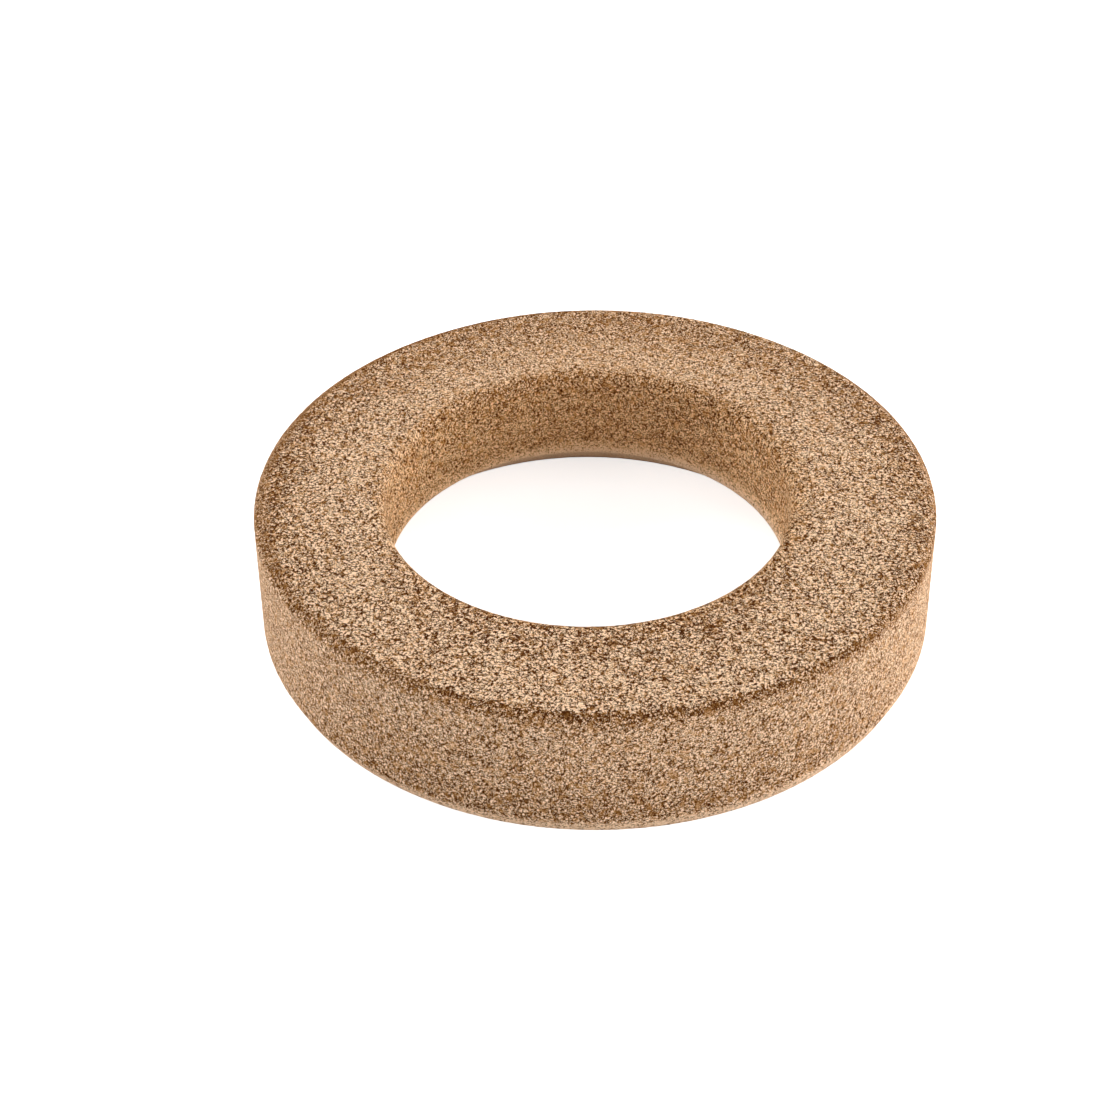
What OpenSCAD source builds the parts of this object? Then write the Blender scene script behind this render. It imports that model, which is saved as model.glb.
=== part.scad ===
// Cork ring: a round rest of pressed cork granules that holds a round-bottomed flask upright.
// One turned piece. The origin is the centre of the ring's foot, +Z is up, sizes are millimetres.

/* [Ring] */
// Outer diameter of the ring
outer_d = 140; // [130:1:160]
// Height of the ring, from its foot to its top face
height = 30; // [26:1:40]

/* [Hole] */
// Diameter of the straight wall of the hole
bore_d = 83.5; // [70:0.5:90]
// How far the hole sits off the ring's centre, towards -X
bore_shift = 1.5; // [0:0.1:3]
// How much wider the hole is, on each side, where its rounded upper edge meets the top face
rim_w = 1.8; // [0.5:0.1:2]
// Radius of that rounded upper edge
rim_r = 2.4; // [2.2:0.1:4]
// Width of the cone that opens the hole towards the foot
seat_w = 11; // [2:0.5:12]
// Height of the cone that opens the hole towards the foot
seat_h = 9.5; // [2:0.5:16]

/* [Outer edges] */
// Width of the bevel around the top face
top_bevel_w = 1.9; // [0.5:0.1:4]
// Height of the bevel around the top face
top_bevel_h = 1.4; // [0.5:0.1:4]
// Width of the bevel around the foot
foot_bevel_w = 1.5; // [0.5:0.1:4]
// Height of the bevel around the foot
foot_bevel_h = 3.2; // [0.5:0.1:5]

/* [Hidden] */
// Segments in a full turn
turn = 180;
// How far the cutting shapes run past the faces they cut through
past = 1;
outer_r = outer_d / 2;
bore_r = bore_d / 2;
// Height at which the straight wall gives way to the rounded upper edge
rim_z = height - sqrt(pow(rim_r, 2) - pow(rim_r - rim_w, 2));
cork = [0.70, 0.56, 0.43];

// Half section of the solid disc: a plain block with a bevel at the top and one at the foot
module disc_section() {
    polygon([
        [0, 0],
        [outer_r - foot_bevel_w, 0],
        [outer_r, foot_bevel_h],
        [outer_r, height - top_bevel_h],
        [outer_r - top_bevel_w, height],
        [0, height],
    ]);
}

// Half section of the hole up to its straight wall: the cone at the foot, then the wall
module bore_section() {
    polygon([
        [0, -past],
        [bore_r + seat_w * (seat_h + past) / seat_h, -past],
        [bore_r, seat_h],
        [bore_r, height + past],
        [0, height + past],
    ]);
}

// Half section of the sliver that is cut from the hole's upper edge to leave it round
module rim_section() {
    difference() {
        translate([bore_r, rim_z])
            square([rim_r, height + past - rim_z]);
        translate([bore_r + rim_r, rim_z])
            circle(r = rim_r, $fn = turn);
    }
}

// The whole ring: the disc turned to shape, with the hole cut right through it
module ring() {
    color(cork)
        difference() {
            rotate_extrude($fn = turn)
                disc_section();
            translate([-bore_shift, 0, 0])
                rotate_extrude($fn = turn) {
                    bore_section();
                    rim_section();
                }
        }
}

ring();
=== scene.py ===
"""Looks for a cork ring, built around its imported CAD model.

The ring is one block of pressed cork granules, sawn flat and ground to shape.  Its surface is a
fine mesh with the swells and torn-out holes of such a block, and its material adds the granules.
Lengths in the classes are millimetres and angles are degrees, unless a comment says otherwise.
The meshes are in metres, in the frame of the CAD model.
"""

from __future__ import annotations

import logging
import math
from dataclasses import dataclass, field
from enum import Enum

import bpy
import numpy as np
from mathutils import Matrix, Vector

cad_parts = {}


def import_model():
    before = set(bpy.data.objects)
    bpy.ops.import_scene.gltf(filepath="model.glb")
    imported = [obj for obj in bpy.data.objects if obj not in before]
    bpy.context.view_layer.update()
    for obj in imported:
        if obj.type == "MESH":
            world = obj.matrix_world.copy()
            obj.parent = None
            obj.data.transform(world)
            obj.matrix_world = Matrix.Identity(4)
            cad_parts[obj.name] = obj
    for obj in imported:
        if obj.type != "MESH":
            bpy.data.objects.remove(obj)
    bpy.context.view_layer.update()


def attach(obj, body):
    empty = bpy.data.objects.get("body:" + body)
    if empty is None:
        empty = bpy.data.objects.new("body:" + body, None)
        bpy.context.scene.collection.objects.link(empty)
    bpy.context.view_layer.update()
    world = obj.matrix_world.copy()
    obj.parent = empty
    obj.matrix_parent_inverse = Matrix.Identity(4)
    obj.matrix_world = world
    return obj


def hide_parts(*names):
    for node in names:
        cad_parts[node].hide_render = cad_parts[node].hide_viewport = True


MM = 0.001
log = logging.getLogger("cork_ring")


# ---------------------------------------------------------------- colours and nodes


def linear(hex_colour: str) -> tuple[float, float, float, float]:
    """Turns an sRGB hex colour into the linear colour that a shader reads.

    Args:
        hex_colour: The colour as "#rrggbb".

    Returns:
        Red, green, blue and an alpha of 1, all linear.
    """
    parts = [int(hex_colour[i : i + 2], 16) / 255 for i in (1, 3, 5)]
    toned = [c / 12.92 if c <= 0.04045 else ((c + 0.055) / 1.055) ** 2.4 for c in parts]
    return (toned[0], toned[1], toned[2], 1.0)


def node(tree: bpy.types.NodeTree, kind: str, settings: dict[str, object] | None = None,
         links: dict[str | int, object] | None = None) -> bpy.types.Node:
    """Adds a node with its settings and links.

    Args:
        tree: The node tree that gets the node.
        kind: The node's Blender type name.
        settings: Properties of the node itself, by name.
        links: Inputs by name or number; a socket is linked, and any other value is set.

    Returns:
        The new node.
    """
    made = tree.nodes.new(kind)
    for name, value in (settings or {}).items():
        setattr(made, name, value)
    for name, value in (links or {}).items():
        if isinstance(value, bpy.types.NodeSocket):
            tree.links.new(value, made.inputs[name])
        else:
            made.inputs[name].default_value = value
    return made


def seen_rays(tree: bpy.types.NodeTree) -> bpy.types.NodeSocket:
    """Adds nodes that tell the rays that show a background from those that light the object.

    Args:
        tree: The shader tree that gets the nodes.

    Returns:
        A socket that is 1 for camera, glossy and transmission rays, and 0 for others.
    """
    rays = node(tree, "ShaderNodeLightPath").outputs
    seen = node(tree, "ShaderNodeMath", {"operation": "MAXIMUM"},
                {0: rays["Is Camera Ray"], 1: rays["Is Glossy Ray"]}).outputs[0]
    return node(tree, "ShaderNodeMath", {"operation": "MAXIMUM"},
                {0: seen, 1: rays["Is Transmission Ray"]}).outputs[0]


# ---------------------------------------------------------------- the granules


@dataclass(frozen=True)
class Granules:
    """Pressed cork granules, as a pattern that fills space.

    Big granules lie among crumbs, with pores where the corners of several granules meet.  Flakes
    of calmer grain lie among them, and now and then a granule is torn out.  The relief of the mesh
    and the colours of the material read the same torn-out holes, so each dark hole is also a dip.
    """

    granule: float = 0.5  # across a big granule
    crumb: float = 0.23  # across a crumb of the fill
    big_share: float = 0.35  # of the surface is big granules where the grain is bold
    flake: float = 1.0  # across a flake, the biggest piece in the mix
    flake_share: float = 0.45  # of the surface is flakes where the grain is bold
    bold: tuple[float, float] = (0.35, 1.0)  # contrast where both shares start and are full
    waver: float = 0.32  # how far outlines may stray from flat facets
    waver_pitch: float = 0.2  # length of one such stray
    # Cork breaks along cells of about 0.04 mm, too fine to show, so its chips are drawn coarser.
    chip_pitch: float = 0.18  # across one chip
    chip_reach: float = 1.2  # how far chips widen or close a pore, as a share of a granule
    # From a granule's middle to a pore, and to the pore's core, as shares of a granule:
    pore: tuple[float, float] = (0.62, 0.64)
    void_pitch: float = 6.0  # from one torn-out hole to the next
    void_reach: float = 0.55  # from the middle of the widest torn-out hole to its edge
    void_floor: float = 0.5  # how far out its floor goes, as a share of that reach
    tear: float = 0.7  # how far its edge may stray
    tear_pitch: float = 0.5  # length of one such stray
    swell_pitch: float = 1.6  # across one swell of the surface

    def scaled(self, tree: bpy.types.NodeTree,
               place: bpy.types.NodeSocket) -> bpy.types.NodeSocket:
        """Turns a place in metres into millimetres."""
        return node(tree, "ShaderNodeVectorMath", {"operation": "SCALE"},
                    {0: place, "Scale": 1 / MM}).outputs[0]

    def swell(self, tree: bpy.types.NodeTree, at: bpy.types.NodeSocket) -> bpy.types.NodeSocket:
        """Adds the gentle swells of the surface, 0 on the highest and 1 in the lowest."""
        return node(tree, "ShaderNodeTexNoise", {},
                    {"Vector": at, "Scale": 1 / self.swell_pitch, "Detail": 1.0}).outputs[0]

    def void(self, tree: bpy.types.NodeTree, at: bpy.types.NodeSocket) -> bpy.types.NodeSocket:
        """Adds the torn-out holes.

        Args:
            tree: The tree that gets the nodes.
            at: Where the surface is at rest, in millimetres.

        Returns:
            A socket that is 1 in a hole and 0 elsewhere.
        """
        ragged = node(tree, "ShaderNodeTexNoise", {},
                      {"Vector": at, "Scale": 1 / self.tear_pitch, "Detail": 1.0}).outputs[1]
        bent = node(tree, "ShaderNodeVectorMath", {"operation": "MULTIPLY_ADD"},
                    {0: ragged, 1: (self.tear,) * 3, 2: at}).outputs[0]
        holes = node(tree, "ShaderNodeTexVoronoi", {"feature": "F1"},
                     {"Vector": bent, "Scale": 1 / self.void_pitch})
        chance = node(tree, "ShaderNodeSeparateXYZ", {}, {0: holes.outputs["Color"]}).outputs[0]
        reach = node(tree, "ShaderNodeMath", {"operation": "MULTIPLY"},
                     {0: chance, 1: self.void_reach / self.void_pitch}).outputs[0]
        core = node(tree, "ShaderNodeMath", {"operation": "MULTIPLY"},
                    {0: reach, 1: self.void_floor}).outputs[0]
        return node(tree, "ShaderNodeMapRange", {"interpolation_type": "SMOOTHSTEP"},
                    {"Value": holes.outputs["Distance"], "From Min": reach,
                     "From Max": core}).outputs[0]

    def rare(self, tree: bpy.types.NodeTree, chance: bpy.types.NodeSocket, share: float,
             contrast: bpy.types.NodeSocket) -> bpy.types.NodeSocket:
        """Picks a share of the cells of a pattern.

        Args:
            tree: The tree that gets the nodes.
            chance: A number from 0 to 1 that is random for each cell.
            share: The share to pick where the grain is bold.
            contrast: How bold the grain is.

        Returns:
            A socket that is 1 in the cells picked and 0 elsewhere.
        """
        starts, full = self.bold
        limit = node(tree, "ShaderNodeMapRange", {},
                     {"Value": contrast, "From Min": starts, "From Max": full,
                      "To Max": share}).outputs[0]
        return node(tree, "ShaderNodeMath", {"operation": "LESS_THAN"},
                    {0: chance, 1: limit}).outputs[0]

    def build(self, tree: bpy.types.NodeTree, at: bpy.types.NodeSocket,
              contrast: bpy.types.NodeSocket) -> dict[str, bpy.types.NodeSocket]:
        """Adds the nodes of the granules to a shader tree.

        Args:
            tree: The tree that gets the nodes.
            at: Where the surface is at rest, in millimetres.
            contrast: How bold the grain is.

        Returns:
            The sockets of the pattern by name: chips, a fine noise; pore, 1 in a pore; tone and
            level, which are random for each granule; flake, 1 in a flake; and flake_tone, which
            is random for each flake.
        """
        stray = node(tree, "ShaderNodeTexNoise", {},
                     {"Vector": at, "Scale": 1 / self.waver_pitch, "Detail": 0.0}).outputs[1]
        bent = node(tree, "ShaderNodeVectorMath", {"operation": "MULTIPLY_ADD"},
                    {0: stray, 1: (self.waver,) * 3, 2: at}).outputs[0]
        big, small = [
            node(tree, "ShaderNodeTexVoronoi", {"feature": "F1"},
                 {"Vector": bent, "Scale": 1 / across}).outputs
            for across in (self.granule, self.crumb)]
        big_parts = node(tree, "ShaderNodeSeparateXYZ", {}, {0: big["Color"]}).outputs
        is_big = self.rare(tree, big_parts[2], self.big_share, contrast)
        random = node(tree, "ShaderNodeMix", {"data_type": "VECTOR"},
                      {0: is_big, 4: small["Color"], 5: big["Color"]}).outputs[1]
        chance = node(tree, "ShaderNodeSeparateXYZ", {}, {0: random}).outputs
        chips = node(tree, "ShaderNodeTexNoise", {},
                     {"Vector": at, "Scale": 1 / self.chip_pitch, "Detail": 1.0}).outputs[0]
        chipped = node(tree, "ShaderNodeMath", {"operation": "MULTIPLY_ADD"},
                       {0: chips, 1: self.chip_reach, 2: big["Distance"]}).outputs[0]
        start, core = [reach + self.chip_reach / 2 for reach in self.pore]
        pore = node(tree, "ShaderNodeMapRange", {"interpolation_type": "SMOOTHSTEP"},
                    {"Value": chipped, "From Min": start, "From Max": core}).outputs[0]
        flakes = node(tree, "ShaderNodeTexVoronoi", {"feature": "F1"},
                      {"Vector": bent, "Scale": 1 / self.flake}).outputs["Color"]
        flake_chance = node(tree, "ShaderNodeSeparateXYZ", {}, {0: flakes}).outputs
        flake = self.rare(tree, flake_chance[2], self.flake_share, contrast)
        return {"chips": chips, "pore": pore, "tone": chance[0], "level": chance[1],
                "flake": flake, "flake_tone": flake_chance[1]}


# ---------------------------------------------------------------- finishes


@dataclass(frozen=True)
class PressedCork:
    """Agglomerated cork: granules pressed with a binder, sawn and ground, not sealed."""

    # It gives the eye tan crumbs of many tones with dark pores between them, dry and dull.
    granules: Granules = field(default_factory=Granules)
    # From the deepest pore to the palest crumb, each tone's place on the scale and its colour:
    tones: tuple[tuple[float, str], ...] = (
        (0.0, "#4a260c"), (0.15, "#63390d"), (0.3, "#805224"), (0.45, "#a07042"),
        (0.6, "#c39367"), (0.8, "#e8bc91"), (1.0, "#fcdcbb"))
    middle: float = 0.42  # mean tone, on that scale
    # The next four are on that scale too, where the grain has a contrast of 1:
    tone_spread: float = 2.45  # how far granules differ in tone
    chip_spread: float = -3.5  # how far chips differ; below 0, as they darken towards a pore
    pore_dark: float = 2.6  # how much darker a pore is
    flake_tones: tuple[float, float] = (-0.03, 0.27)  # darkest and palest flake, from the middle
    pore_share: float = 0.15  # share of the surface that is pores, made up for by the rest
    flake_calm: float = 0.6  # share of the grain's spread that is lost inside a flake
    void_dark: float = 0.45  # how much darker a torn-out hole is, at any contrast: painted shade in the hole
    warm: str = "#fff0d2"  # tint multiplied in at a warmth of 1
    roughness: float = 0.9
    ior: float = 1.4
    gloss: float = 0.05  # its open cells swallow most of the usual mirror light
    bump: float = 1.0  # strength of the bump, whose height is the relief
    relief: float = 0.25  # height of the chips
    step: float = 0.1  # how far granules stand above each other, as a share of that height

    def value(self, tree: bpy.types.NodeTree,
              parts: dict[str, bpy.types.NodeSocket]) -> bpy.types.NodeSocket:
        """Adds the nodes that work out how pale each spot is.

        Args:
            tree: The shader tree that gets the nodes.
            parts: The sockets of the granules, and void, contrast and shift by name.

        Returns:
            The place on the scale of the tones.
        """
        pore = node(tree, "ShaderNodeMath", {"operation": "MULTIPLY"},
                    {0: parts["pore"], 1: parts["contrast"]}).outputs[0]
        steps = ((parts["tone"], self.tone_spread), (parts["chips"], self.chip_spread),
                 (pore, -self.pore_dark))
        total = -(self.tone_spread + self.chip_spread) / 2 + self.pore_dark * self.pore_share
        for part, weight in steps:
            total = node(tree, "ShaderNodeMath", {"operation": "MULTIPLY_ADD"},
                         {0: part, 1: weight, 2: total}).outputs[0]
        calm = node(tree, "ShaderNodeMath", {"operation": "MULTIPLY_ADD"},
                    {0: parts["flake"], 1: -self.flake_calm, 2: 1.0}).outputs[0]
        total = node(tree, "ShaderNodeMath", {"operation": "MULTIPLY"},
                     {0: total, 1: calm}).outputs[0]
        own = node(tree, "ShaderNodeMapRange", {},
                   {"Value": parts["flake_tone"], "To Min": self.flake_tones[0],
                    "To Max": self.flake_tones[1]}).outputs[0]
        total = node(tree, "ShaderNodeMath", {"operation": "MULTIPLY_ADD"},
                     {0: parts["flake"], 1: own, 2: total}).outputs[0]
        total = node(tree, "ShaderNodeMath", {"operation": "MULTIPLY_ADD"},
                     {0: total, 1: parts["contrast"], 2: self.middle}).outputs[0]
        # The zone's shift adds painted light and shade to the tone.
        total = node(tree, "ShaderNodeMath", {"operation": "ADD"},
                     {0: total, 1: parts["shift"]}).outputs[0]
        # A torn-out hole gets painted shade on top of its dip.
        return node(tree, "ShaderNodeMath", {"operation": "MULTIPLY_ADD"},
                    {0: parts["void"], 1: -self.void_dark, 2: total}).outputs[0]

    def material(self) -> bpy.types.Material:
        """Makes the material.

        Returns:
            The cork material.
        """
        made = bpy.data.materials.new("pressed_cork_ground")
        made.use_nodes = True
        tree = made.node_tree
        tree.nodes.clear()
        place = node(tree, "ShaderNodeAttribute", {"attribute_name": "place"}).outputs["Vector"]
        shift, contrast, warmth = [
            node(tree, "ShaderNodeAttribute", {"attribute_name": name}).outputs["Fac"]
            for name in ("shift", "contrast", "warmth")]
        at = self.granules.scaled(tree, place)
        parts = self.granules.build(tree, at, contrast)
        parts.update(void=self.granules.void(tree, at), shift=shift, contrast=contrast)
        ramp = node(tree, "ShaderNodeValToRGB", {}, {0: self.value(tree, parts)})
        steps = ramp.color_ramp.elements
        while len(steps) > 1:
            steps.remove(steps[-1])
        steps[0].position, steps[0].color = self.tones[0][0], linear(self.tones[0][1])
        for position, colour in self.tones[1:]:
            steps.new(position).color = linear(colour)
        colour = node(tree, "ShaderNodeMix",
                      {"data_type": "RGBA", "blend_type": "MULTIPLY", "clamp_factor": False},
                      {0: warmth, 6: ramp.outputs[0], 7: linear(self.warm)}).outputs[2]
        deep = node(tree, "ShaderNodeMath", {"operation": "MAXIMUM"},
                    {0: parts["pore"], 1: parts["void"]}).outputs[0]
        raised = node(tree, "ShaderNodeMath", {"operation": "MULTIPLY_ADD"},
                      {0: parts["level"], 1: self.step, 2: parts["chips"]}).outputs[0]
        height = node(tree, "ShaderNodeMath", {"operation": "SUBTRACT"},
                      {0: raised, 1: deep}).outputs[0]
        bump = node(tree, "ShaderNodeBump", {},
                    {"Strength": self.bump, "Distance": self.relief * MM,
                     "Height": height}).outputs[0]
        shader = node(tree, "ShaderNodeBsdfPrincipled", {},
                      {"Base Color": colour, "Roughness": self.roughness, "IOR": self.ior,
                       "Specular IOR Level": self.gloss, "Normal": bump}).outputs[0]
        node(tree, "ShaderNodeOutputMaterial", {}, {"Surface": shader})
        return made


@dataclass(frozen=True)
class StudioPaper:
    """Matt white seamless paper."""

    # It gives the eye an even white ground without gloss, which keeps a soft shadow.
    colour: str = "#f0f0f0"
    lift: float = 0.72  # glow that only the rays that show a background see

    def material(self) -> bpy.types.Material:
        """Makes the material.

        Returns:
            The paper material.
        """
        made = bpy.data.materials.new("studio_paper_matt")
        made.use_nodes = True
        tree = made.node_tree
        tree.nodes.clear()
        strength = node(tree, "ShaderNodeMath", {"operation": "MULTIPLY"},
                        {0: seen_rays(tree), 1: self.lift}).outputs[0]
        glow = node(tree, "ShaderNodeEmission", {}, {"Strength": strength}).outputs[0]
        paper = node(tree, "ShaderNodeBsdfDiffuse", {}, {"Color": linear(self.colour)}).outputs[0]
        both = node(tree, "ShaderNodeAddShader", {}, {0: paper, 1: glow}).outputs[0]
        node(tree, "ShaderNodeOutputMaterial", {}, {"Surface": both})
        return made


# ---------------------------------------------------------------- the ring


class Face(Enum):
    """The turned faces of the ring, in order up its outside, over its top and down its hole."""

    FOOT_BEVEL = "bevel around the foot"
    WALL = "outer wall"
    TOP_BEVEL = "bevel around the top"
    TOP = "top face"
    RIM = "rounded edge of the hole"
    BORE = "wall of the hole"
    SEAT = "cone at the foot of the hole"
    FOOT = "foot"


@dataclass(frozen=True)
class Zone:
    """How the cork differs at one place on the section: its grain, and shifts of tone that are
    mostly painted light and shade.
    """

    face: Face
    share: float  # of the way along the face
    front: float  # shift of tone at the ring's front, on the scale of the cork's tones
    side: float  # at its sides
    back: float  # and at its back
    contrast: float  # how bold the grain is
    warmth: float  # share of the warm tint


# Most of the shifts of tone below are painted light and shade, set zone by zone; the contrasts are
# the cork's grain.
ZONES = (
    # Painted light: the foot bevel is paler all round, most at the front, as if lit from the
    # floor.
    Zone(Face.FOOT_BEVEL, 0.0, 0.8, 0.32, 0.3, 0.6, 0.0),
    Zone(Face.FOOT_BEVEL, 0.8, 0.46, 0.25, 0.25, 0.6, 0.0),
    # Painted light and shade: the wall is paler at the sides and, at the front, darker near the
    # foot.
    Zone(Face.WALL, 0.03, -0.13, 0.22, -0.03, 0.55, -0.03),
    Zone(Face.WALL, 0.3, 0.0, 0.17, 0.0, 0.55, -0.03),
    Zone(Face.WALL, 0.55, 0.07, 0.16, 0.02, 0.55, -0.03),
    Zone(Face.WALL, 0.93, 0.09, 0.16, 0.0, 0.55, -0.03),
    # The top bevel is darker all round.
    Zone(Face.TOP_BEVEL, 0.1, -0.07, -0.23, -0.09, 0.5, 0.0),
    Zone(Face.TOP_BEVEL, 0.85, -0.4, -0.07, -0.24, 0.5, 0.0),
    # Painted shade and light: the top is darker near its outer edge at the sides and near the hole
    # at the front, and paler near the hole at the back.
    Zone(Face.TOP, 0.03, 0.07, -0.34, -0.05, 1.34, 0.15),
    Zone(Face.TOP, 0.17, -0.06, -0.21, -0.14, 1.34, 0.15),
    Zone(Face.TOP, 0.3, -0.04, -0.05, -0.06, 1.34, 0.15),
    Zone(Face.TOP, 0.42, -0.08, 0.04, -0.04, 1.34, 0.15),
    Zone(Face.TOP, 0.54, -0.16, 0.06, 0.06, 1.34, 0.15),
    Zone(Face.TOP, 0.66, -0.22, 0.1, 0.06, 1.34, 0.15),
    Zone(Face.TOP, 0.78, -0.4, 0.09, 0.12, 1.34, 0.15),
    Zone(Face.TOP, 0.9, -0.38, -0.03, 0.15, 1.28, 0.15),
    # Painted shade: the rounded edge of the hole is darker at the front.
    Zone(Face.RIM, 0.3, -0.34, 0.0, -0.08, 1.13, 0.5),
    # Painted light: the wall of the hole pales towards its lower edge, most at the edge itself, as
    # if lit from the floor.
    Zone(Face.BORE, 0.02, -0.08, 0.05, 0.01, 1.28, 0.75),
    Zone(Face.BORE, 0.12, 0.01, -0.06, 0.04, 1.16, 0.75),
    Zone(Face.BORE, 0.5, 0.07, 0.09, 0.15, 1.05, 0.75),
    Zone(Face.BORE, 0.8, 0.1, 0.18, 0.16, 0.98, 0.75),
    Zone(Face.BORE, 0.92, 0.22, 0.61, 0.5, 0.93, 0.6),
    Zone(Face.BORE, 0.97, 0.5, 0.68, 0.75, 0.89, 0.4),
    # Painted light: the cone at the foot of the hole is much paler all round, in place of floor
    # light in its shade.
    Zone(Face.SEAT, 0.03, 0.62, 0.62, 0.62, 0.6, 0.0),
    Zone(Face.SEAT, 0.9, 0.55, 0.55, 0.55, 0.7, 0.0),
    Zone(Face.FOOT, 0.1, 0.0, 0.0, 0.0, 0.9, 0.0),
    Zone(Face.FOOT, 0.9, 0.0, 0.0, 0.0, 0.9, 0.0),
)


@dataclass
class CorkRing:
    """The ring itself, one block of cork with an off-centre hole."""

    outer_r: float = 70.0
    height: float = 30.0
    bore_r: float = 41.75
    bore_shift: float = 1.5  # from the ring's middle to the hole's, towards -X
    rim_w: float = 1.8
    rim_r: float = 2.4
    seat_w: float = 11.0
    seat_h: float = 9.5
    top_bevel_w: float = 1.9
    top_bevel_h: float = 1.4
    foot_bevel_w: float = 1.5
    foot_bevel_h: float = 3.2
    spacing: float = 0.3  # between vertices on the faces that show from above
    hidden_spacing: float = 0.6  # and on those that face down
    spacing_around: float = 0.345  # between vertices around the outside
    swell_depth: float = 0.12  # from the highest to the lowest of the gentle swells
    void_depth: float = 0.5  # of a torn-out hole
    triangles: int = 196_000
    # How much lower the zones lie on its right, at the foot and from the top bevel on:
    askew: tuple[float, float] = (-1.2, 1.1)
    ragged: float = 0.075  # height of the waves in the zones' edges, before they are summed
    ripples: tuple[int, int, int] = (9, 300, 7)  # waves in a turn: fewest, limit and step
    seed: int = 7
    # Where the front and the back give way to the sides, and how softly, as cosines of the turn:
    front_edge: tuple[float, float] = (0.6, 0.25)
    back_edge: tuple[float, float] = (0.5, 0.3)
    boldness: tuple[float, float, float] = (0.42, 0.8, 1.06)  # of the grain: back, sides, front
    layout_edge: float = 0.004  # bare edge of the flat layout, as a share of it
    cork: PressedCork = field(default_factory=PressedCork)

    def corners(self) -> list[tuple[Face, float, float, float]]:
        """Lists the corners of the half section.

        Returns:
            For each face in order, the face, then the radius, height and share of the hole's shift
            at the corner where it starts.
        """
        rim_z = self.height - math.sqrt(self.rim_r**2 - (self.rim_r - self.rim_w) ** 2)
        return [
            (Face.FOOT_BEVEL, self.outer_r - self.foot_bevel_w, 0.0, 0.0),
            (Face.WALL, self.outer_r, self.foot_bevel_h, 0.0),
            (Face.TOP_BEVEL, self.outer_r, self.height - self.top_bevel_h, 0.0),
            (Face.TOP, self.outer_r - self.top_bevel_w, self.height, 0.0),
            (Face.RIM, self.bore_r + self.rim_w, self.height, 1.0),
            (Face.BORE, self.bore_r, rim_z, 1.0),
            (Face.SEAT, self.bore_r, self.seat_h, 1.0),
            (Face.FOOT, self.bore_r + self.seat_w, 0.0, 1.0),
        ]

    def section(self) -> tuple[np.ndarray, list[Face]]:
        """Works out the closed half section as close stations.

        Returns:
            An array of radius, height, share of shift and distance along the section, one row a
            station, and the face that starts at each station.
        """
        corners = self.corners()
        rows: list[tuple[float, float, float]] = []
        faces: list[Face] = []
        for k, (face, r0, z0, s0) in enumerate(corners):
            _, r1, z1, s1 = corners[(k + 1) % len(corners)]
            hidden = face in (Face.SEAT, Face.FOOT)
            length = math.hypot(r1 - r0, z1 - z0)
            steps = round(length / (self.hidden_spacing if hidden else self.spacing))
            for i in range(steps):
                t = i / steps
                r, z, s = r0 + (r1 - r0) * t, z0 + (z1 - z0) * t, s0 + (s1 - s0) * t
                if face is Face.RIM:
                    middle_r, middle_z = self.bore_r + self.rim_r, z1
                    start = math.atan2(z0 - middle_z, r0 - middle_r)
                    turn = start + (math.pi - start) * t
                    r = middle_r + self.rim_r * math.cos(turn)
                    z = middle_z + self.rim_r * math.sin(turn)
                rows.append((r, z, s))
                faces.append(face)
        table = np.array(rows)
        following = np.roll(table, -1, axis=0)
        step = np.hypot(following[:, 0] - table[:, 0], following[:, 1] - table[:, 1])
        along = np.concatenate([[0.0], np.cumsum(step)])[:-1]
        return np.column_stack([table, along]), faces

    def girth(self, stations: np.ndarray) -> float:
        """Works out the length once around the half section, in millimetres."""
        last, first = stations[-1], stations[0]
        return float(last[3] + math.hypot(last[0] - first[0], last[1] - first[1]))

    def zone_values(self, stations: np.ndarray, faces: list[Face],
                    turn: np.ndarray) -> dict[str, np.ndarray]:
        """Works out how the cork differs at each vertex.

        Args:
            stations: The stations of the section.
            faces: The face that starts at each station.
            turn: The angle of each column of vertices.

        Returns:
            By name, the shift of tone, the contrast, the warmth and the place around the section
            as a point on a circle.  Each array has one row for each column of vertices.
        """
        along = stations[:, 3]
        starts = {face: along[faces.index(face)] for face in Face}
        ends = dict(zip(Face, list(starts.values())[1:] + [along[-1]]))
        marks = [starts[z.face] + z.share * (ends[z.face] - starts[z.face]) for z in ZONES]
        draw = np.random.default_rng(self.seed)
        waves = sum(
            self.ragged / math.sqrt(n) * np.sin(n * turn + draw.uniform(0, 2 * math.pi))
            * draw.normal()
            for n in range(*self.ripples))
        lean = np.interp(along, (0.0, starts[Face.TOP_BEVEL]), self.askew)
        at = along[None, :] + waves[:, None] + np.sin(turn)[:, None] * lean
        front, side, back, contrast, warmth = [
            np.interp(at, marks, [getattr(z, name) for z in ZONES])
            for name in ("front", "side", "back", "contrast", "warmth")]
        facing = np.cos(turn)[:, None]
        ahead, behind = [
            0.5 + 0.5 * np.tanh((way - edge) / softness)
            for way, (edge, softness) in ((facing, self.front_edge), (-facing, self.back_edge))]
        # The shift, mostly painted light and shade, blends from the front to the sides to the
        # back.
        shift = side + (front - side) * ahead + (back - side) * behind
        contrast = contrast * np.interp(facing, (-1, 0, 1), self.boldness)
        loop = 2 * math.pi * along / self.girth(stations)
        return {"shift": shift, "contrast": contrast, "warmth": warmth,
                "loop_x": np.broadcast_to(np.cos(loop), shift.shape),
                "loop_y": np.broadcast_to(np.sin(loop), shift.shape)}

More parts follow.
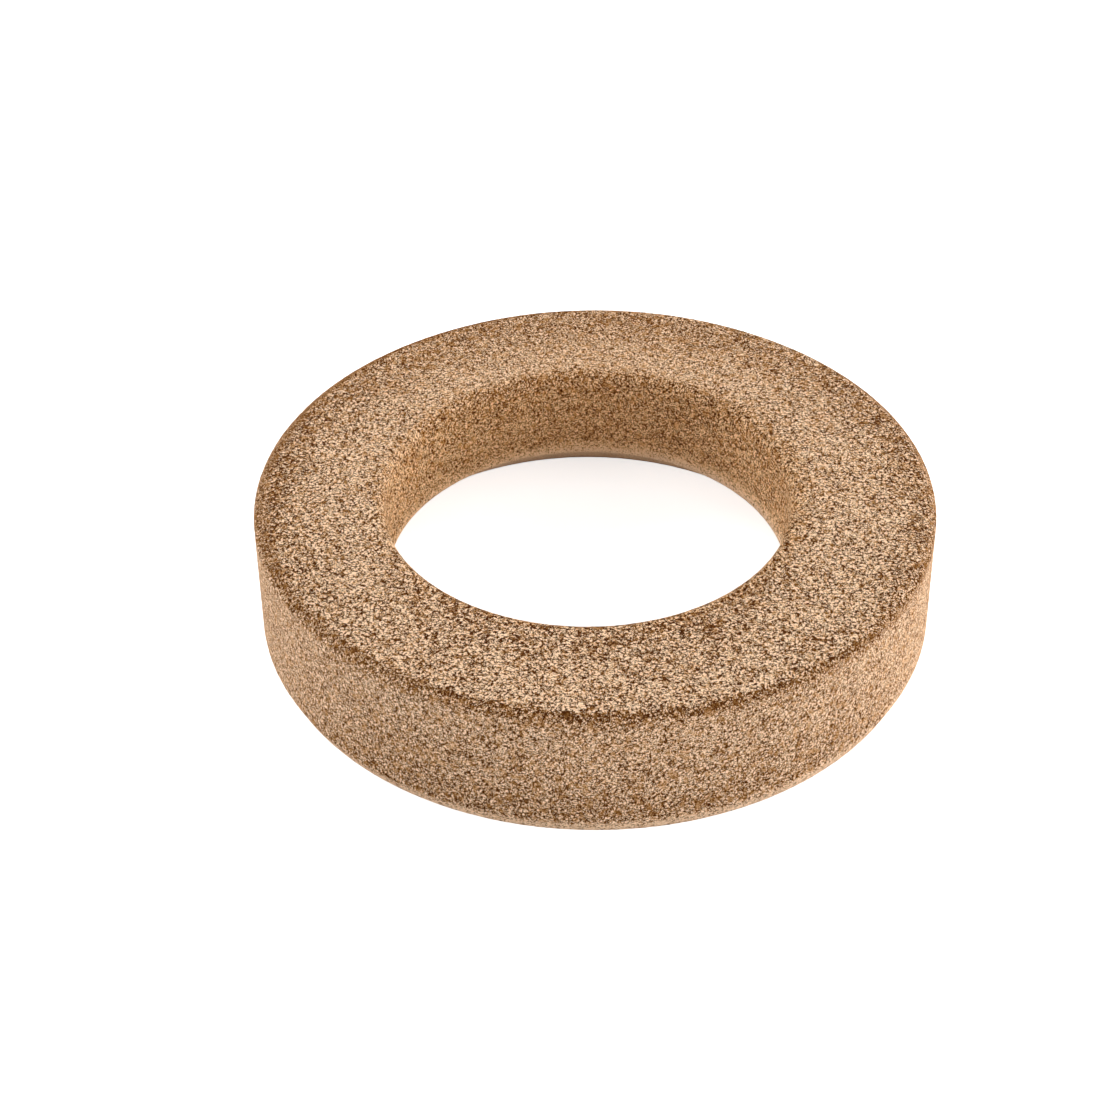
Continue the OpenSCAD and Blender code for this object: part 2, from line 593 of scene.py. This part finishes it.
    def block(self) -> bpy.types.Object:
        """Builds the smooth ring as an even grid of quads.

        Returns:
            The ring before its granules, as an object in the scene.
        """
        stations, faces = self.section()
        columns = round(2 * math.pi * self.outer_r / self.spacing_around)
        turn = np.arange(columns) * (2 * math.pi / columns)
        radius, height, share = stations[:, 0], stations[:, 1], stations[:, 2]
        x = np.sin(turn)[:, None] * radius - share * self.bore_shift
        y = -np.cos(turn)[:, None] * radius
        z = np.broadcast_to(height, x.shape)
        places = np.stack([x, y, z], axis=-1).reshape(-1, 3) * MM
        rows = len(stations)
        a = np.arange(columns)[:, None] * rows + np.arange(rows)
        b = np.roll(a, -1, axis=0)
        quads = np.stack([a, b, np.roll(b, -1, axis=1), np.roll(a, -1, axis=1)], axis=-1)
        mesh = bpy.data.meshes.new("cork_ring")
        mesh.vertices.add(len(places))
        mesh.vertices.foreach_set("co", places.astype(np.float32).ravel())
        mesh.loops.add(quads.size)
        mesh.loops.foreach_set("vertex_index", quads.astype(np.int32).ravel())
        count = quads.size // 4
        mesh.polygons.add(count)
        mesh.polygons.foreach_set("loop_start", np.arange(count, dtype=np.int32) * 4)
        mesh.polygons.foreach_set("use_smooth", np.ones(count, dtype=bool))
        mesh.update(calc_edges=True)
        mesh.validate()
        for name, values in self.zone_values(stations, faces, turn).items():
            kept = mesh.attributes.new(name, "FLOAT", "POINT")
            kept.data.foreach_set("value", values.astype(np.float32).ravel())
        ring = bpy.data.objects.new("cork_ring", mesh)
        bpy.context.scene.collection.objects.link(ring)
        return ring

    def trim(self, mesh: bpy.types.Mesh) -> None:
        """Keeps every vertex inside the height and the diameter of the block.

        Args:
            mesh: The finished mesh, which is changed.
        """
        places = np.empty(len(mesh.vertices) * 3, np.float32)
        mesh.vertices.foreach_get("co", places)
        places = places.reshape(-1, 3)
        radius = np.hypot(places[:, 0], places[:, 1])
        places[:, :2] *= np.minimum(1.0, self.outer_r * MM / np.maximum(radius, MM))[:, None]
        places[:, 2] = places[:, 2].clip(0.0, self.height * MM)
        mesh.vertices.foreach_set("co", places.ravel())
        mesh.update()

    def unwrap(self, mesh: bpy.types.Mesh) -> None:
        """Lays the surface out flat as two strips, one for each half turn.

        Args:
            mesh: The finished mesh, which gets the layout and loses the helping attributes.
        """
        count = len(mesh.vertices)
        places = np.empty(count * 3, np.float32)
        mesh.vertices.foreach_get("co", places)
        places = places.reshape(-1, 3)
        loop = np.empty((2, count), np.float32)
        for row, name in zip(loop, ("loop_x", "loop_y")):
            mesh.attributes[name].data.foreach_get("value", row)
            mesh.attributes.remove(mesh.attributes[name])
        corner = np.empty(len(mesh.loops), np.int32)
        mesh.loops.foreach_get("vertex_index", corner)
        starts = np.empty(len(mesh.polygons), np.int32)
        mesh.polygons.foreach_get("loop_start", starts)
        sizes = np.diff(np.append(starts, len(corner)))

        def over_face(values: np.ndarray) -> np.ndarray:
            """Gives each corner the mean of its face."""
            return np.repeat(np.add.reduceat(values[corner], starts) / sizes, sizes)

        right = over_face(places[:, 0]) >= 0
        turn = np.arctan2(places[:, 0], -places[:, 1])[corner]
        turn = np.where(right, np.where(turn < -math.pi / 2, turn + 2 * math.pi, turn),
                        np.where(turn < math.pi / 2, turn + math.pi, turn - math.pi))
        share = np.arctan2(loop[1], loop[0])[corner] / (2 * math.pi)
        middle = np.arctan2(over_face(loop[1]), over_face(loop[0])) / (2 * math.pi)
        share = share + np.round(middle - share) + (middle < 0)
        edge = self.layout_edge
        u = edge + (1 - 2 * edge) * turn / math.pi
        v = edge + (0.5 - 2 * edge) * share + np.where(right, 0.0, 0.5)
        layout = mesh.uv_layers.new(name="OFBake")
        layout.data.foreach_set("uv", np.stack([u, v], axis=-1).astype(np.float32).ravel())

    def relief(self) -> bpy.types.NodeTree:
        """Builds the geometry nodes that press the swells and torn-out holes into the surface.

        Returns:
            The node group, which also keeps each vertex's place before that as an attribute.
        """
        tree = bpy.data.node_groups.new("granule_relief", "GeometryNodeTree")
        tree.interface.new_socket("Geometry", in_out="INPUT", socket_type="NodeSocketGeometry")
        tree.interface.new_socket("Geometry", in_out="OUTPUT", socket_type="NodeSocketGeometry")
        start = node(tree, "NodeGroupInput").outputs[0]
        place = node(tree, "GeometryNodeInputPosition").outputs[0]
        outward = node(tree, "GeometryNodeInputNormal").outputs[0]
        kept = node(tree, "GeometryNodeStoreNamedAttribute",
                    {"data_type": "FLOAT_VECTOR", "domain": "POINT"},
                    {"Geometry": start, "Name": "place", "Value": place}).outputs[0]
        granules = self.cork.granules
        at = granules.scaled(tree, place)
        swell = node(tree, "ShaderNodeMath", {"operation": "MULTIPLY"},
                     {0: granules.swell(tree, at), 1: self.swell_depth}).outputs[0]
        depth = node(tree, "ShaderNodeMath", {"operation": "MULTIPLY_ADD"},
                     {0: granules.void(tree, at), 1: self.void_depth, 2: swell}).outputs[0]
        inward = node(tree, "ShaderNodeMath", {"operation": "MULTIPLY"},
                      {0: depth, 1: -MM}).outputs[0]
        offset = node(tree, "ShaderNodeVectorMath", {"operation": "SCALE"},
                      {0: outward, "Scale": inward}).outputs[0]
        moved = node(tree, "GeometryNodeSetPosition", {},
                     {"Geometry": kept, "Offset": offset}).outputs[0]
        node(tree, "NodeGroupOutput", {}, {0: moved})
        return tree

    def build(self) -> bpy.types.Object:
        """Builds and dresses the ring.

        Returns:
            The finished piece, which stands for the CAD node.
        """
        ring = self.block()
        pressed = ring.modifiers.new("granules", "NODES")
        pressed.node_group = self.relief()
        thinned = ring.modifiers.new("thinned", "DECIMATE")
        thinned.ratio = self.triangles / (len(ring.data.polygons) * 2)
        thinned.use_collapse_triangulate = True
        graph = bpy.context.evaluated_depsgraph_get()
        final = bpy.data.meshes.new_from_object(
            ring.evaluated_get(graph), preserve_all_data_layers=True, depsgraph=graph)
        ring.modifiers.clear()
        ring.data = final
        final.name = "cork_ring"
        self.trim(final)
        self.unwrap(final)
        final.materials.clear()
        final.materials.append(self.cork.material())
        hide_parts("ring")
        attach(ring, "root")
        return ring


# ---------------------------------------------------------------- the studio


@dataclass(frozen=True)
class Softbox:
    """One soft lamp, placed by the direction that it shines from."""

    name: str
    azimuth: float  # 0 is the camera's side, 90 is +X
    elevation: float
    away: float  # metres from the ring
    across: float  # metres, both ways
    power: float  # watts

    def build(self) -> bpy.types.Object:
        """Makes the lamp, turned to the ring.

        Returns:
            The lamp object.
        """
        lamp = bpy.data.lights.new(self.name, "AREA")
        lamp.shape = "DISK"
        lamp.size = self.across
        lamp.energy = self.power
        a, e = math.radians(self.azimuth), math.radians(self.elevation)
        towards = Vector((math.sin(a) * math.cos(e), -math.cos(a) * math.cos(e), math.sin(e)))
        made = bpy.data.objects.new(self.name, lamp)
        made.location = towards * self.away
        made.rotation_euler = towards.to_track_quat("Z", "Y").to_euler()
        bpy.context.scene.collection.objects.link(made)
        return made


@dataclass
class Studio:
    """A plain pale floor under an even sky and soft lamps."""

    floor_across: float = 6.0  # metres
    paper: StudioPaper = field(default_factory=StudioPaper)
    sky: float = 0.41  # strength of the even light from all around
    lamps: tuple[Softbox, ...] = (
        Softbox("softbox_right_front", 60.0, 20.0, 1.3, 0.8, 8.1),
        Softbox("softbox_right", 90.0, 18.0, 1.3, 0.8, 4.9),
        Softbox("softbox_right_back", 120.0, 20.0, 1.3, 0.8, 11.4),
        Softbox("softbox_left_front", -60.0, 20.0, 1.3, 0.8, 6.0),
        Softbox("softbox_left_back", -120.0, 30.0, 1.3, 0.8, 10.4),
    )

    def lay_floor(self) -> None:
        """Lays the floor."""
        half = self.floor_across / 2
        mesh = bpy.data.meshes.new("floor")
        mesh.from_pydata([(-half, -half, 0), (half, -half, 0), (half, half, 0), (-half, half, 0)],
                         [], [(0, 1, 2, 3)])
        mesh.materials.append(self.paper.material())
        floor = bpy.data.objects.new("floor", mesh)
        bpy.context.scene.collection.objects.link(floor)

    def light_sky(self) -> None:
        """Lights the room evenly and shows it white."""
        world = bpy.data.worlds.new("studio")
        bpy.context.scene.world = world
        world.use_nodes = True
        tree = world.node_tree
        tree.nodes.clear()
        strength = node(tree, "ShaderNodeMapRange", {},
                        {"Value": seen_rays(tree), "To Min": self.sky, "To Max": 1.0}).outputs[0]
        shader = node(tree, "ShaderNodeBackground", {},
                      {"Color": linear("#ffffff"), "Strength": strength}).outputs[0]
        node(tree, "ShaderNodeOutputWorld", {}, {"Surface": shader})

    def build(self) -> None:
        """Builds the floor, the sky and the lamps."""
        self.lay_floor()
        self.light_sky()
        for lamp in self.lamps:
            lamp.build()


@dataclass
class StillCamera:
    """A long-lens camera looking down on the ring from its front."""

    lens: float = 86.545
    sensor: float = 36.0  # across its film
    away: float = 553.08  # from the middle of the ring
    elevation: float = 38.234
    aim_height: float = 15.0  # of the middle of the ring above the floor
    yaw: float = 0.9608  # how far it turns to the left of that middle
    pitch: float = -0.0281  # and above it
    nearest: float = 10.0  # closest that anything is drawn

    def build(self) -> bpy.types.Object:
        """Makes the camera the scene's own.

        Returns:
            The camera object.
        """
        made = bpy.data.objects.new("camera", bpy.data.cameras.new("camera"))
        made.data.sensor_width = self.sensor
        made.data.lens = self.lens
        made.data.clip_start = self.nearest * MM
        e = math.radians(self.elevation)
        spot = Vector((0.0, -self.away * math.cos(e), self.away * math.sin(e) + self.aim_height))
        turned = (Matrix.Rotation(math.pi / 2 - e, 4, "X")
                  @ Matrix.Rotation(math.radians(self.yaw), 4, "Y")
                  @ Matrix.Rotation(math.radians(self.pitch), 4, "X"))
        made.matrix_world = Matrix.Translation(spot * MM) @ turned
        bpy.context.scene.collection.objects.link(made)
        bpy.context.scene.camera = made
        return made


def main() -> None:
    """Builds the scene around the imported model."""
    logging.basicConfig(level=logging.INFO, format="%(name)s: %(message)s")
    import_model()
    camera = StillCamera().build()
    log.info("%s: lens %.1f mm", camera.name, camera.data.lens)
    studio = Studio()
    studio.build()
    log.info("studio: a floor and %d lamps", len(studio.lamps))
    ring = CorkRing().build()
    log.info("%s: %d vertices, %d faces", ring.name, len(ring.data.vertices),
             len(ring.data.polygons))
    bpy.context.scene.view_settings.view_transform = "Standard"
    bpy.context.view_layer.update()


if __name__ == "__main__":
    main()
